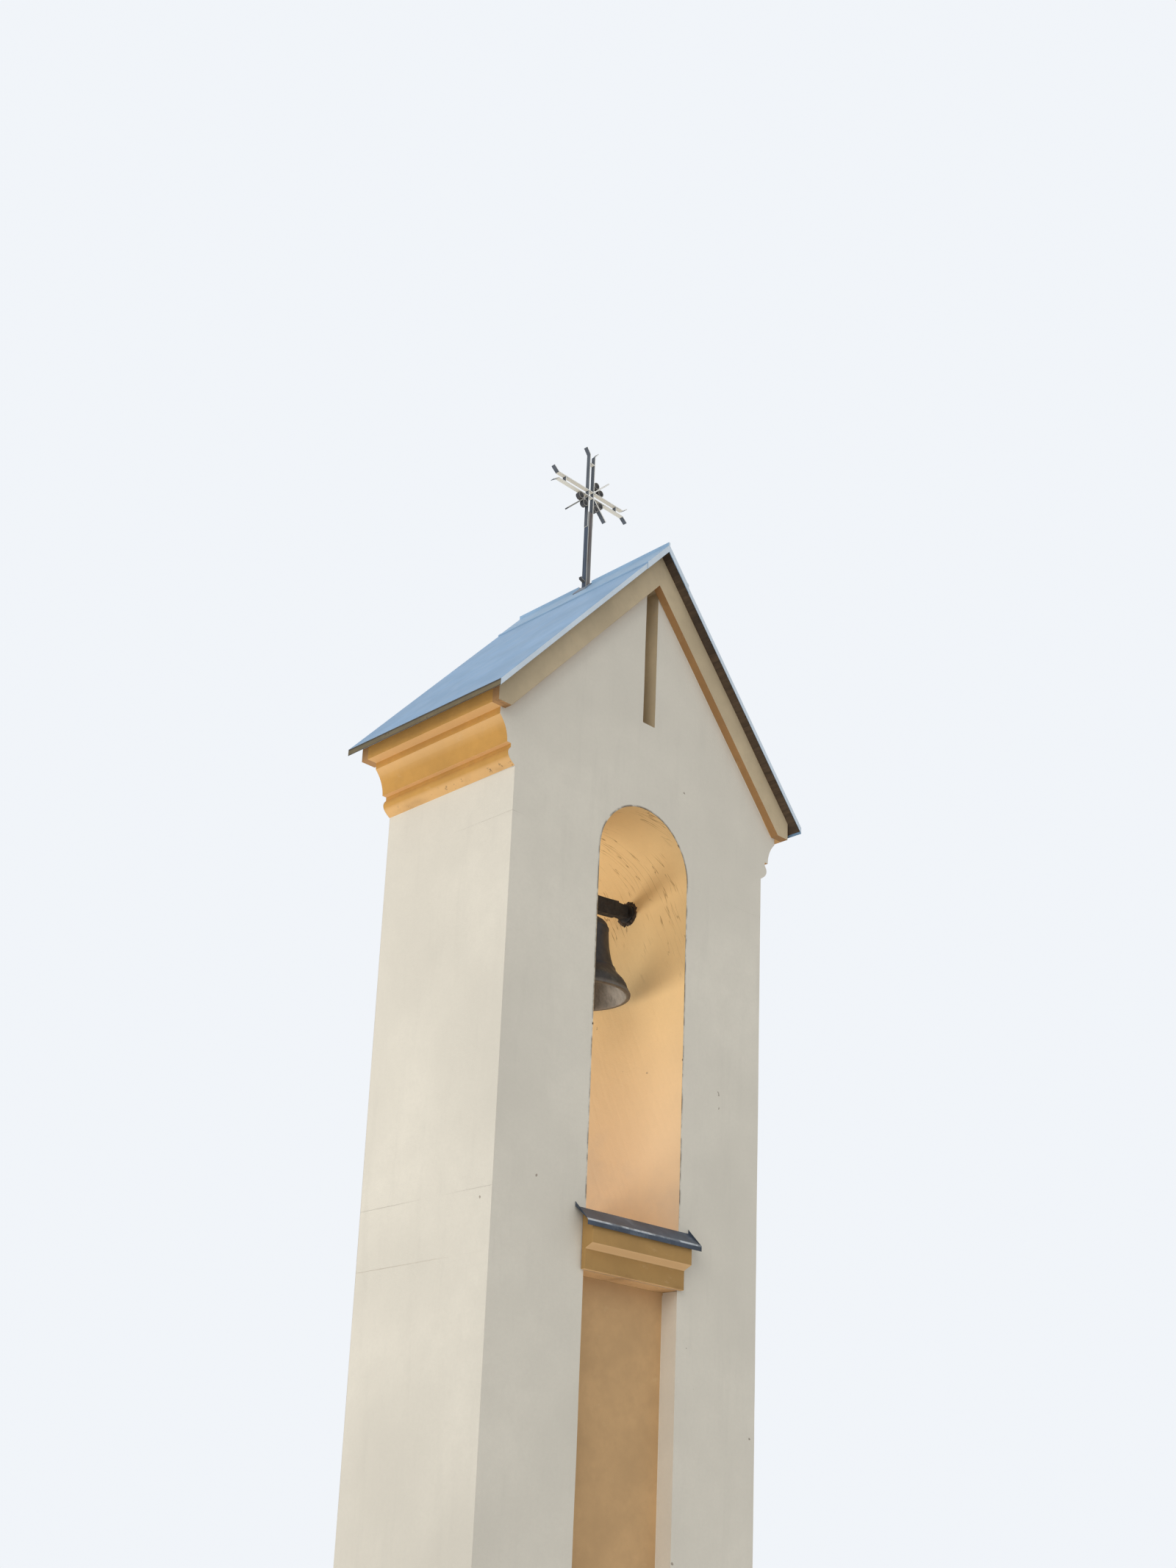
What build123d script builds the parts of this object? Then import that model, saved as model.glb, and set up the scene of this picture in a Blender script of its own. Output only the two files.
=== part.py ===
from build123d import *
import math
import os

# Plastered walls of the tower, in mm, with the arched front facing -Y
wall_width = 2000.0
wall_depth = 1046.0
base_height = 900.0
niche_height = 2547.0
niche_depth = 110.0
sill_wall_height = 326.0
opening_width = 700.0
opening_straight = 2016.0
arch_cover = 201.0

# Gable slits under the rake bands
slit_width = 94.0
slit_depth = 120.0
slit_start = 333.0

# Roof pitch, overhangs and covering
roof_pitch = 48.2
eave_overhang = 232.0
verge_overhang = 120.0
deck_thickness = 15.0
sheet_thickness = 3.0
drip_below_deck = 14.0
cap_wing = 262.0
cap_fold = 14.0
seam_width = 12.0
seam_height = 16.0

# Side cornice, from the corona down to the torus
corona_projection = 183.0
corona_height = 108.0
soffit_depth = 60.0
fillet_height = 40.0
cove_foot_projection = 63.0
cove_height = 142.0
lower_fillet_projection = 36.0
lower_fillet_height = 20.0
torus_projection = 50.0
torus_height = 96.0

# Flat bands that climb both rakes of each gable
band_projection = 54.0
band_thickness = 213.0

# Sill moulding and its sloped metal flashing
flashing_half_width = 430.0
flashing_projection = 100.0
flashing_drop = 81.0
flashing_lip = 30.0
flashing_upstand = 22.0
moulding_half_width = 376.0
moulding_projection = 83.0
moulding_bevel = 24.0
lower_band_projection = 30.0
lower_band_height = 108.0

# Swinging bell, hung from an iron headstock on a cross axle
axle_below_springing = 56.0
axle_forward = 49.0
axle_radius = 17.0
axle_embed = 45.0
axle_play = 0.08
axle_end_play = 3.0
headstock_height = 96.0
headstock_depth = 56.0
headstock_sag = 18.0
headstock_gap = 6.0
neck_length = 79.0
neck_height = 78.0
bell_gap = 72.0
bell_height = 465.0
bell_mouth_radius = 282.0
bell_bow_radius = 245.0
bell_bow_height = 88.0
bell_shoulder_radius = 144.0
bell_shoulder_rounding = 44.0
bell_waist_radius = 148.0
bell_waist_drop = 143.0
bell_wall = 16.0
bell_lip_wall = 26.0
bell_lip_height = 13.0
flare_steps = 4
crown_block_length = 100.0
strap_width = 34.0
strap_thickness = 6.0
strap_spacing = 60.0
bearing_radius = 55.0
bearing_depth = 62.0
bearing_stand_out = 12.0
mortar_gap = 0.5
clapper_rod_radius = 9.0
clapper_ball_radius = 38.0
clapper_ball_above_lip = 60.0
clapper_ball_flat = 14.0
clapper_tail = 58.0
clapper_eye_radius = 26.0
clapper_eye_thickness = 14.0
staple_radius = 7.0
staple_width = 56.0
staple_drop = 44.0
eye_play = 3.0
eye_clearance = 0.3

# Ridge cross of paired flat bars round a square tube
cross_back = 57.0
cross_arm = 316.0
cross_height = 646.0
cross_lower_arm = 235.0
post_side = 36.0
post_top = 513.0
post_wall = 3.0
bar_depth = 30.0
bar_thickness = 5.0
fork_length = 48.0
fork_angle = 38.0
rung_below_fork = 61.0
rung_thickness = 5.0
upper_right_ray_length = 212.0
lower_left_ray_length = 265.0
lower_right_ray_length = 190.0
ray_thickness = 8.0
scroll_radius = 22.0
scroll_thickness = 5.0
scroll_flats = 24
saddle_wing = 85.0
saddle_thickness = 6.0
saddle_half_length = 55.0

# Levels and slopes that follow from the sizes above
half_width = wall_width / 2
half_depth = wall_depth / 2
half_opening = opening_width / 2
z_niche_top = base_height + niche_height
z_sill = z_niche_top + sill_wall_height
z_springing = z_sill + opening_straight
z_corona = z_springing + half_opening + arch_cover
pitch = math.radians(roof_pitch)
slope = math.tan(pitch)
plumb = 1 / math.cos(pitch)
corona_x = half_width + corona_projection
eave_x = half_width + eave_overhang
verge_y = half_depth + verge_overhang
band_y = half_depth + band_projection


def deck_under(x):
    return z_corona + corona_height + (corona_x - abs(x)) * slope


def sheet_under(x):
    return deck_under(x) + deck_thickness * plumb


def sheet_top(x):
    return sheet_under(x) + sheet_thickness * plumb


def block(x0, x1, y0, y1, z0, z1):
    low_x, high_x = sorted((x0, x1))
    low_y, high_y = sorted((y0, y1))
    size = (high_x - low_x, high_y - low_y, z1 - z0)
    corner = Pos((low_x + high_x) / 2, (low_y + high_y) / 2, (z0 + z1) / 2)
    return corner * Box(*size)


def across(points, y0, y1):
    # Prism along Y from a closed outline of (x, z) points
    face = make_face(Plane.XZ * Polyline(*points, close=True))
    return Pos(0, y1, 0) * extrude(face, amount=y1 - y0, dir=(0, -1, 0))


def along(points, x0, x1):
    # Prism along X from a closed outline of (y, z) points
    face = make_face(Plane.YZ * Polyline(*points, close=True))
    return Pos(x0, 0, 0) * extrude(face, amount=x1 - x0, dir=(1, 0, 0))


def rod_x(radius, x0, x1, y, z):
    return Pos((x0 + x1) / 2, y, z) * Rot(0, 90, 0) * Cylinder(radius, x1 - x0)


def left_of(shape):
    return mirror(shape, about=Plane.YZ)


def back_of(shape):
    return mirror(shape, about=Plane.XZ)


def save(shape, node):
    solids = shape.solids()
    whole = solids[0] if len(solids) == 1 else Compound(children=list(solids))
    export_step(whole, f"parts/{node}.step")


os.makedirs("parts", exist_ok=True)

# Lower masonry: a plain base, then two piers with a blind niche in front and behind
save(block(-half_width, half_width, -half_depth, half_depth, 0, base_height), "base_wall")
lower_pier = block(half_opening, half_width, -half_depth, half_depth, base_height, z_niche_top)
save(lower_pier, "right_lower_pier")
save(left_of(lower_pier), "left_lower_pier")
niche_y = half_depth - niche_depth
save(block(-half_opening, half_opening, -niche_y, niche_y, base_height, z_niche_top), "niche_back_wall")
save(block(-half_width, half_width, -half_depth, half_depth, z_niche_top, z_sill), "sill_wall")

# Bell stage: piers with a pocket for each bearing, and the arched wall over them
axle_y = -axle_forward
axle_z = z_springing - axle_below_springing
pocket_radius = bearing_radius + mortar_gap
pocket_end = half_opening + bearing_depth
pier = block(half_opening, half_width, -half_depth, half_depth, z_sill, z_springing)
pocket = rod_x(pocket_radius, half_opening - bearing_stand_out, pocket_end, axle_y, axle_z)
pier -= pocket
save(pier, "right_pier")
save(left_of(pier), "left_pier")
arch_solid = block(-half_width, half_width, -half_depth, half_depth, z_springing, z_corona)
vault = Pos(0, 0, z_springing) * Rot(90, 0, 0) * Cylinder(half_opening, wall_depth)
save(arch_solid - vault - pocket - left_of(pocket), "arch_wall")

# Gable over the arch, with a narrow slit in its front and back
gable = across(
    [
        (-half_width, z_corona),
        (half_width, z_corona),
        (half_width, deck_under(half_width)),
        (0, deck_under(0)),
        (-half_width, deck_under(half_width)),
    ],
    -half_depth,
    half_depth,
)
band_apex = deck_under(0) - band_thickness
for face_y in (-half_depth, half_depth):
    inner_y = face_y - math.copysign(slit_depth, face_y)
    gable -= block(-slit_width / 2, slit_width / 2, face_y, inner_y, z_corona + slit_start, band_apex)
save(gable, "gable_wall")

# Side cornice: corona, soffit, fillet, cove, lower fillet and torus, run as one profile
x_soffit = corona_x - soffit_depth
z_cove_top = z_corona - fillet_height
x_cove_foot = half_width + cove_foot_projection
z_cove_foot = z_cove_top - cove_height
x_fillet = half_width + lower_fillet_projection
z_torus_top = z_cove_foot - lower_fillet_height
z_torus_foot = z_torus_top - torus_height
torus_middle = (half_width + torus_projection, (z_torus_top + z_torus_foot) / 2)
with BuildPart() as cornice_part:
    with BuildSketch(Plane.XZ):
        with BuildLine():
            Polyline(
                (x_cove_foot, z_cove_foot),
                (x_fillet, z_cove_foot),
                (x_fillet, z_torus_top),
            )
            ThreePointArc((x_fillet, z_torus_top), torus_middle, (half_width, z_torus_foot))
            Polyline(
                (half_width, z_torus_foot),
                (half_width, deck_under(half_width)),
                (corona_x, deck_under(corona_x)),
                (corona_x, z_corona),
                (x_soffit, z_corona),
                (x_soffit, z_cove_top),
            )
            TangentArc((x_cove_foot, z_cove_foot), (x_soffit, z_cove_top), tangent=(0, 1))
        make_face()
    extrude(amount=half_depth, both=True)
cornice = cornice_part.part
save(cornice, "right_cornice")
save(left_of(cornice), "left_cornice")

# Rake bands: each returns from the corona's end and climbs to the ridge
foot_x = (band_apex - z_corona) / slope
band = across(
    [
        (foot_x, z_corona),
        (corona_x, z_corona),
        (corona_x, deck_under(corona_x)),
        (0, deck_under(0)),
        (0, band_apex),
    ],
    -band_y,
    -half_depth,
)
save(band, "front_right_rake_band")
save(left_of(band), "front_left_rake_band")
save(back_of(band), "back_right_rake_band")
save(back_of(left_of(band)), "back_left_rake_band")

# Sill moulding of two steps under a sloped flashing with a turned-down lip
fall = flashing_drop / flashing_projection
sheet_plumb = sheet_thickness * math.sqrt(1 + fall * fall)


def flashing_z(out):
    return z_sill - out * fall


z_band_top = z_niche_top + lower_band_height
moulding = along(
    [
        (-half_depth, z_niche_top),
        (-half_depth, flashing_z(0) - sheet_plumb),
        (-half_depth - moulding_projection, flashing_z(moulding_projection) - sheet_plumb),
        (-half_depth - moulding_projection, z_band_top + moulding_bevel),
        (-half_depth - lower_band_projection, z_band_top),
        (-half_depth - lower_band_projection, z_niche_top),
    ],
    -moulding_half_width,
    moulding_half_width,
)
save(moulding, "front_sill_moulding")
save(back_of(moulding), "back_sill_moulding")
lip_y = -half_depth - flashing_projection
flashing = along(
    [
        (-half_depth, flashing_z(0)),
        (-half_depth, flashing_z(0) - sheet_plumb),
        (lip_y + sheet_thickness, flashing_z(flashing_projection - sheet_thickness) - sheet_plumb),
        (lip_y + sheet_thickness, flashing_z(flashing_projection) - flashing_lip),
        (lip_y, flashing_z(flashing_projection) - flashing_lip),
        (lip_y, flashing_z(flashing_projection)),
    ],
    -flashing_half_width,
    flashing_half_width,
)
upstand = along(
    [
        (-half_depth, flashing_z(0)),
        (-half_depth, flashing_z(0) + flashing_upstand),
        (lip_y, flashing_z(flashing_projection)),
    ],
    flashing_half_width - sheet_thickness,
    flashing_half_width,
)
flashing = flashing + upstand + left_of(upstand)
save(flashing, "front_sill_flashing")
save(back_of(flashing), "back_sill_flashing")

# Roof: boarded decks, then sheet metal folded down over eaves and verges
deck = across(
    [
        (0, deck_under(0)),
        (eave_x - sheet_thickness, deck_under(eave_x - sheet_thickness)),
        (eave_x - sheet_thickness, sheet_under(eave_x - sheet_thickness)),
        (0, sheet_under(0)),
    ],
    -verge_y + sheet_thickness,
    verge_y - sheet_thickness,
)
save(deck, "right_roof_deck")
save(left_of(deck), "left_roof_deck")


def below_deck(x):
    return deck_under(x) - drip_below_deck


sheet_block = across(
    [
        (0, below_deck(0)),
        (eave_x, below_deck(eave_x)),
        (eave_x, sheet_top(eave_x)),
        (0, sheet_top(0)),
    ],
    -verge_y,
    verge_y,
)
sheet_hollow = across(
    [
        (0, z_corona),
        (eave_x - sheet_thickness, z_corona),
        (eave_x - sheet_thickness, sheet_under(eave_x - sheet_thickness)),
        (0, sheet_under(0)),
    ],
    -verge_y + sheet_thickness,
    verge_y - sheet_thickness,
)
sheet = sheet_block - sheet_hollow
save(sheet, "right_roof_sheet")
save(left_of(sheet), "left_roof_sheet")

# Ridge cap: two wings with hemmed edges, folded ends and a standing roll on the ridge
cap_x = cap_wing * math.cos(pitch)
cap_y = verge_y + sheet_thickness


def cap_top(x):
    return sheet_top(x) + sheet_thickness * plumb


fold_x = cap_x - cap_fold * math.cos(pitch)
fold_rise = sheet_thickness * plumb
half_seam = seam_width / 2
seam_top = cap_top(0) + seam_height
cap_half = [
    (cap_x, below_deck(cap_x)),
    (cap_x, cap_top(cap_x) + fold_rise),
    (fold_x, cap_top(fold_x) + fold_rise),
    (fold_x, cap_top(fold_x)),
    (half_seam, cap_top(half_seam)),
    (half_seam, seam_top),
]
cap_block = across(
    [(0, below_deck(0))] + cap_half + [(-x, z) for x, z in reversed(cap_half)],
    -cap_y,
    cap_y,
)
cap_hollow = across(
    [
        (-eave_x, z_corona),
        (eave_x, z_corona),
        (eave_x, sheet_top(eave_x)),
        (0, sheet_top(0)),
        (-eave_x, sheet_top(eave_x)),
    ],
    -verge_y,
    verge_y,
)
ridge_cap = cap_block - cap_hollow

# Cross: saddle on the ridge cap, square tube post, paired bars with forked ends
cross_y = cross_back
z_ridge = cap_top(0)
z_cross = z_ridge + cross_height
saddle_x = saddle_wing * math.cos(pitch)


def saddle_top(x):
    return cap_top(x) + saddle_thickness * plumb


saddle_low = cross_y - saddle_half_length
saddle_high = cross_y + saddle_half_length
ridge_cap -= across(
    [
        (-saddle_x, cap_top(saddle_x)),
        (0, cap_top(0)),
        (saddle_x, cap_top(saddle_x)),
        (saddle_x, seam_top),
        (-saddle_x, seam_top),
    ],
    saddle_low,
    saddle_high,
)
save(ridge_cap, "ridge_cap")
saddle = across(
    [
        (-saddle_x, cap_top(saddle_x)),
        (0, cap_top(0)),
        (saddle_x, cap_top(saddle_x)),
        (saddle_x, saddle_top(saddle_x)),
        (0, saddle_top(0)),
        (-saddle_x, saddle_top(saddle_x)),
    ],
    saddle_low,
    saddle_high,
)
save(saddle, "cross_saddle")
half_post = post_side / 2
z_post_top = z_ridge + post_top
post = block(-half_post, half_post, cross_y - half_post, cross_y + half_post, z_ridge - saddle_x, z_post_top)
post_bore = half_post - post_wall
post -= block(
    -post_bore,
    post_bore,
    cross_y - post_bore,
    cross_y + post_bore,
    z_ridge - 2 * saddle_x,
    z_post_top - post_wall,
)
post -= across(
    [
        (-cap_x, saddle_top(cap_x) - 2 * cap_x),
        (cap_x, saddle_top(cap_x) - 2 * cap_x),
        (cap_x, saddle_top(cap_x)),
        (0, saddle_top(0)),
        (-cap_x, saddle_top(cap_x)),
    ],
    saddle_low,
    saddle_high,
)
save(post, "cross_post")

bar_in = half_post
bar_out = half_post + bar_thickness
bar_low = cross_y - bar_depth / 2
bar_high = cross_y + bar_depth / 2
fork = math.radians(fork_angle)
fork_run = fork_length * math.cos(fork)
fork_rise = fork_length * math.sin(fork)


def forked_bar(start, end, start_fork):
    # One bar in the XZ plane, seen along its length, with its ends splayed away from its pair
    straight_end = end - fork_run
    straight_start = start + (fork_run if start_fork else 0)
    inner = [(straight_start, bar_in), (straight_end, bar_in), (end, bar_in + fork_rise)]
    outer = [(end, bar_out + fork_rise), (straight_end, bar_out), (straight_start, bar_out)]
    if start_fork:
        inner.insert(0, (start, bar_in + fork_rise))
        outer.append((start, bar_out + fork_rise))
    return inner + outer


upright_outline = [(w, z_cross + u) for u, w in forked_bar(-cross_lower_arm, cross_arm, False)]
arm_outline = [(u, z_cross + w) for u, w in forked_bar(-cross_arm, cross_arm, True)]
arm_under = [(u, z_cross - w) for u, w in forked_bar(-cross_arm, cross_arm, True)]
right_upright = across(upright_outline, bar_low, bar_high)
front_half = block(-cross_arm, cross_arm, bar_low, cross_y, z_cross - post_side, z_cross + post_side)
back_half = block(-cross_arm, cross_arm, cross_y, bar_high, z_cross - post_side, z_cross + post_side)
upper_arm = across(arm_outline, bar_low, bar_high)
lower_arm = across(arm_under, bar_low, bar_high)
arms = upper_arm + lower_arm
uprights = right_upright + left_of(right_upright)
save(right_upright - (arms & front_half), "cross_right_upright")
save(left_of(right_upright) - (arms & front_half), "cross_left_upright")
save(upper_arm - (uprights & back_half), "cross_upper_arm_bar")
save(lower_arm - (uprights & back_half), "cross_lower_arm_bar")

# Rungs tie each pair of bars below its fork
rung_at = cross_arm - fork_run - rung_below_fork
half_rung = rung_thickness / 2
arm_rung = block(rung_at - half_rung, rung_at + half_rung, bar_low, bar_high, -bar_in, bar_in)
rungs = [Pos(0, 0, z_cross) * Rot(0, turn, 0) * arm_rung for turn in (0, -90, 180)]
save(Compound(children=rungs), "cross_rungs")

# Rays stand in three corners, each between two scroll rings; the fourth is lost
ray_start = bar_out * math.sqrt(2)
half_ray = ray_thickness / 2


def diagonal(shape, angle):
    return Pos(0, 0, z_cross) * Rot(0, -angle, 0) * shape


def ray(angle, length):
    # A flat bar whose pointed foot sits in the corner of the crossing
    outline = [
        (ray_start, 0),
        (ray_start + half_ray, -half_ray),
        (length, -half_ray),
        (length, half_ray),
        (ray_start + half_ray, half_ray),
    ]
    return diagonal(across(outline, bar_low, bar_high), angle)


def flat_sided(apothem):
    sides = RegularPolygon(apothem, scroll_flats, major_radius=False, rotation=180 / scroll_flats)
    return extrude(sides, amount=bar_depth / 2, both=True)


def scroll(angle, side):
    # A hammered ring whose flats touch both the ray and the bar next to it
    near = bar_out + scroll_radius
    far = near + math.sqrt(2) * (scroll_radius + half_ray)
    place = Pos((far + near) / math.sqrt(2), cross_y, side * (far - near) / math.sqrt(2)) * Rot(90, 0, 0)
    return diagonal(place * (flat_sided(scroll_radius) - flat_sided(scroll_radius - scroll_thickness)), angle)


rays = {
    "upper_right": (45, upper_right_ray_length),
    "lower_left": (225, lower_left_ray_length),
    "lower_right": (315, lower_right_ray_length),
}
for corner, (angle, length) in rays.items():
    save(ray(angle, length), f"cross_{corner}_ray")
scrolls = [scroll(angle, side) for angle, length in rays.values() for side in (1, -1)]
save(Compound(children=scrolls), "cross_scrolls")

# Bell body, turned from one profile: rounded shoulder, waist, flare and sound bow
headstock_top = axle_z + headstock_height / 2
headstock_low = axle_z - headstock_height / 2
bell_top = headstock_low - headstock_sag - bell_gap
lip_z = bell_top - bell_height
waist_z = bell_top - bell_waist_drop
head_flat = bell_shoulder_radius - bell_shoulder_rounding
shoulder_z = bell_top - bell_shoulder_rounding
inner_top = bell_top - bell_wall
inner_head = bell_shoulder_radius - 2 * bell_wall
inner_waist = bell_waist_radius - bell_wall
inner_lip = bell_mouth_radius - bell_lip_wall
break_in = bell_shoulder_rounding * (1 - math.sqrt(0.5))
shoulder_break = (bell_shoulder_radius - break_in, bell_top - break_in)
arc_start = (bell_waist_radius, waist_z)
arc_end = (bell_bow_radius, lip_z + bell_bow_height)
wall_slope = (bell_waist_radius - bell_shoulder_radius, waist_z - shoulder_z)
flare = TangentArc(arc_start, arc_end, tangent=wall_slope)
outer_flare = [tuple(flare @ (step / flare_steps))[:2] for step in range(flare_steps + 1)]
inner_flare = [(x - bell_wall, z) for x, z in outer_flare[2::2]]
bell_profile = [
    (0, bell_top),
    (head_flat, bell_top),
    shoulder_break,
    (bell_shoulder_radius, shoulder_z),
    *outer_flare,
    (bell_mouth_radius, lip_z + bell_lip_height),
    (bell_mouth_radius - bell_lip_height / 2, lip_z),
    (inner_lip, lip_z),
    *reversed(inner_flare),
    (inner_waist, waist_z),
    (inner_head, inner_top),
    (0, inner_top),
]
bell_body = revolve(make_face(Plane.XZ * Polyline(*bell_profile, close=True)), axis=Axis.Z)
half_stock = headstock_depth / 2
stock_end = half_opening - bearing_stand_out - headstock_gap
axle_end = half_opening + axle_embed
beam_end = stock_end - neck_length


def bowed(z_low, z_high, half_y):
    # Prism along Y between two levels that both sag towards the middle of the beam
    with BuildPart() as bow:
        with BuildSketch(Plane.XZ.offset(-axle_y)):
            with BuildLine():
                ThreePointArc((-beam_end, z_high), (0, z_high - headstock_sag), (beam_end, z_high))
                Line((beam_end, z_high), (beam_end, z_low))
                ThreePointArc((beam_end, z_low), (0, z_low - headstock_sag), (-beam_end, z_low))
                Line((-beam_end, z_low), (-beam_end, z_high))
            make_face()
        extrude(amount=half_y, both=True)
    return bow.part


# Headstock beam with its necks; the bell's crown block is cut to the beam's sagging underside
beam = bowed(headstock_low, headstock_top, half_stock)
half_crown = crown_block_length / 2
crown = block(-half_crown, half_crown, axle_y - half_stock, axle_y + half_stock, bell_top, axle_z)
save(Pos(0, axle_y, 0) * bell_body + (crown - beam), "bell")
half_neck = neck_height / 2
neck_low = axle_z - half_neck
neck_high = axle_z + half_neck
neck = block(beam_end, stock_end, axle_y - half_stock, axle_y + half_stock, neck_low, neck_high)
axle = rod_x(axle_radius, -axle_end, axle_end, axle_y, axle_z)
save(beam + neck + left_of(neck) - axle, "headstock")
save(axle, "bell_axle")
strap_out = half_stock + strap_thickness
strap_top = headstock_top + strap_thickness


def strap(x):
    # A flat band over the beam, with both legs down to the bell's head
    low_x = x - strap_width / 2
    high_x = x + strap_width / 2
    wrap = block(low_x, high_x, axle_y - strap_out, axle_y + strap_out, bell_top, strap_top)
    return (wrap & bowed(lip_z, strap_top, strap_out)) - bowed(lip_z, headstock_top, half_stock)


save(strap(strap_spacing / 2), "right_bell_strap")
save(strap(-strap_spacing / 2), "left_bell_strap")

# Bearings: blind iron bushes mortared into the jambs
bearing = rod_x(bearing_radius, half_opening - bearing_stand_out, pocket_end, axle_y, axle_z)
bearing_bore = rod_x(
    axle_radius + axle_play,
    half_opening - 2 * bearing_stand_out,
    axle_end + axle_end_play,
    axle_y,
    axle_z,
)
bearing -= bearing_bore
save(bearing, "right_bearing")
save(left_of(bearing), "left_bearing")

# Clapper, hung from a staple inside the bell's head
staple_top = bell_top - bell_wall
half_staple = staple_width / 2
staple_bar = rod_x(staple_radius, -half_staple, half_staple, axle_y, staple_top - staple_drop)
leg_in = half_staple - 2 * staple_radius
leg_low = staple_top - staple_drop - staple_radius
leg = block(leg_in, half_staple, axle_y - staple_radius, axle_y + staple_radius, leg_low, staple_top)
save(staple_bar + leg + left_of(leg), "clapper_staple")
ball_z = lip_z + clapper_ball_above_lip
eye_bore = staple_radius + eye_play
eye_z = staple_top - staple_drop - eye_play + eye_clearance
half_flat = clapper_ball_flat / 2
hammer_profile = [
    (0, eye_z - clapper_eye_radius + eye_play),
    (clapper_rod_radius, eye_z - clapper_eye_radius + eye_play),
    (clapper_rod_radius, ball_z + clapper_ball_radius),
    (clapper_ball_radius, ball_z + half_flat),
    (clapper_ball_radius, ball_z - half_flat),
    (clapper_rod_radius, ball_z - clapper_ball_radius),
    (clapper_rod_radius, ball_z - clapper_tail),
    (0, ball_z - clapper_tail),
]
hammer = revolve(make_face(Plane.XZ * Polyline(*hammer_profile, close=True)), axis=Axis.Z)
clapper = Pos(0, axle_y, 0) * hammer
half_eye = clapper_eye_thickness / 2
clapper += rod_x(clapper_eye_radius, -half_eye, half_eye, axle_y, eye_z)
clapper -= rod_x(eye_bore, -2 * half_eye, 2 * half_eye, axle_y, eye_z)
save(clapper, "clapper")
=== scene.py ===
import math
import random
import bmesh
import bpy
from mathutils import Matrix, Vector, kdtree, noise


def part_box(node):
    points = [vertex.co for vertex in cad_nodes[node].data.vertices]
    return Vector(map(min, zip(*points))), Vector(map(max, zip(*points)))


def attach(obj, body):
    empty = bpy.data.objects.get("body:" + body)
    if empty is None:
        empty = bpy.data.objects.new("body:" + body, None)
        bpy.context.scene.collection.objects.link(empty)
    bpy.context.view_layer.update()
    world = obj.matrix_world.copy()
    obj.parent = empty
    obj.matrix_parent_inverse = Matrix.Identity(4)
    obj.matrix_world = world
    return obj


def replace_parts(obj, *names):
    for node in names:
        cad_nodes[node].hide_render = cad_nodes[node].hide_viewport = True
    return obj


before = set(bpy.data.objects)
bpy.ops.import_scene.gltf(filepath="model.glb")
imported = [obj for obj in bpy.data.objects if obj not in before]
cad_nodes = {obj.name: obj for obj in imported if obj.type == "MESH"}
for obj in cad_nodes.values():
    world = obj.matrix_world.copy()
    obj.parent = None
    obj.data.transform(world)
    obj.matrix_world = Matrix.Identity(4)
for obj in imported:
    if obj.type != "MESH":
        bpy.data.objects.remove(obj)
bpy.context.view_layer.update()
rng = random.Random(41)
bpy.context.scene.view_settings.view_transform = "Standard"


def corner(node, which):
    """One corner of a solid's box, rounded to a tenth of a millimetre."""
    return Vector([round(value, 4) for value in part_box(node)[which]])


# Main levels and faces, read from the solids, in metres
half_width = corner("base_wall", 1).x
half_depth = corner("base_wall", 1).y
z_base = corner("base_wall", 1).z
z_niche = corner("right_lower_pier", 1).z
z_sill = corner("sill_wall", 1).z
z_spring = corner("right_pier", 1).z
z_corona = corner("arch_wall", 1).z
z_apex = corner("gable_wall", 1).z
half_opening = corner("right_pier", 0).x
niche_y = corner("niche_back_wall", 1).y
band_y = corner("back_right_rake_band", 1).y
corona_x = corner("right_cornice", 1).x
torus_foot = corner("right_cornice", 0).z
axle = (corner("bell_axle", 0) + corner("bell_axle", 1)) / 2

# Sizes that the solids' boxes don't give
pitch = math.radians(48.2)
slope = math.tan(pitch)
slit_half = 0.047
slit_depth = 0.12
slit_start = 0.333
soffit_depth = 0.060
fillet_height = 0.040
cove_foot = 0.063
cove_height = 0.142
lower_fillet = 0.036
lower_fillet_height = 0.020
torus_out = 0.050
band_thickness = 0.213
edge_round = 0.007
eave_fold = 0.037
lip_height = 0.030

# How far the cutting forms reach past the body
overshoot = 0.1

# How finely curves and walls are divided, how uneven the plaster is, and its breaks
arch_steps = 40
curve_steps = 12
bell_steps = 96
wall_grid = 0.09
wall_unevenness = 0.004
wall_wave = 0.55
ground_band = 0.02
cornice_breaks = 4

# How close a face lies to a level to take its paint, or two points to count as one
hair = 0.003
skin = 0.004
margin = 0.01
joined = 1e-5

# Directions, and how squarely a face looks along one to count as facing it
facing_limit = 0.9
AXES = {"x": Vector((1, 0, 0)), "y": Vector((0, 1, 0)), "z": Vector((0, 0, 1))}

# Old mortar round each bush: depth, inner and outer radius of each of its rings
mortar_rings = ((0.0, 0.057, 0.080), (0.006, 0.058, 0.073), (0.010, 0.0585, 0.063))
mortar_steps = 56
mortar_ragged = 0.016

# Camera of the photograph: lens and centre in pixels, place in metres, angles in radians
lens_pixels = 2589.657
image_width = 1600
image_height = 2133
centre_x = 905.893
centre_y = 1439.188
sensor_width = 36.0
camera_place = (-7.033, -7.434, 1.600)
camera_heading = -0.80912225
camera_tilt = 1.87302316
camera_roll = 0.02699838
far_clip = 300

# Light and floor
sky_strength = 0.44
opening_light_place = (-4.2, 8.2, 1.8)
opening_light_aim = (0.1, 0.0, 5.6)
opening_light_energy = 110
opening_light_size = 4.0
opening_light_spread = math.radians(70)
floor_radius = 40


def deck_under(x):
    return z_apex - abs(x) * slope


def srgb(red, green, blue):
    def linear(value):
        share = value / 255
        return share / 12.92 if share <= 0.04045 else ((share + 0.055) / 1.055) ** 2.4
    return (linear(red), linear(green), linear(blue), 1.0)


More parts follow.
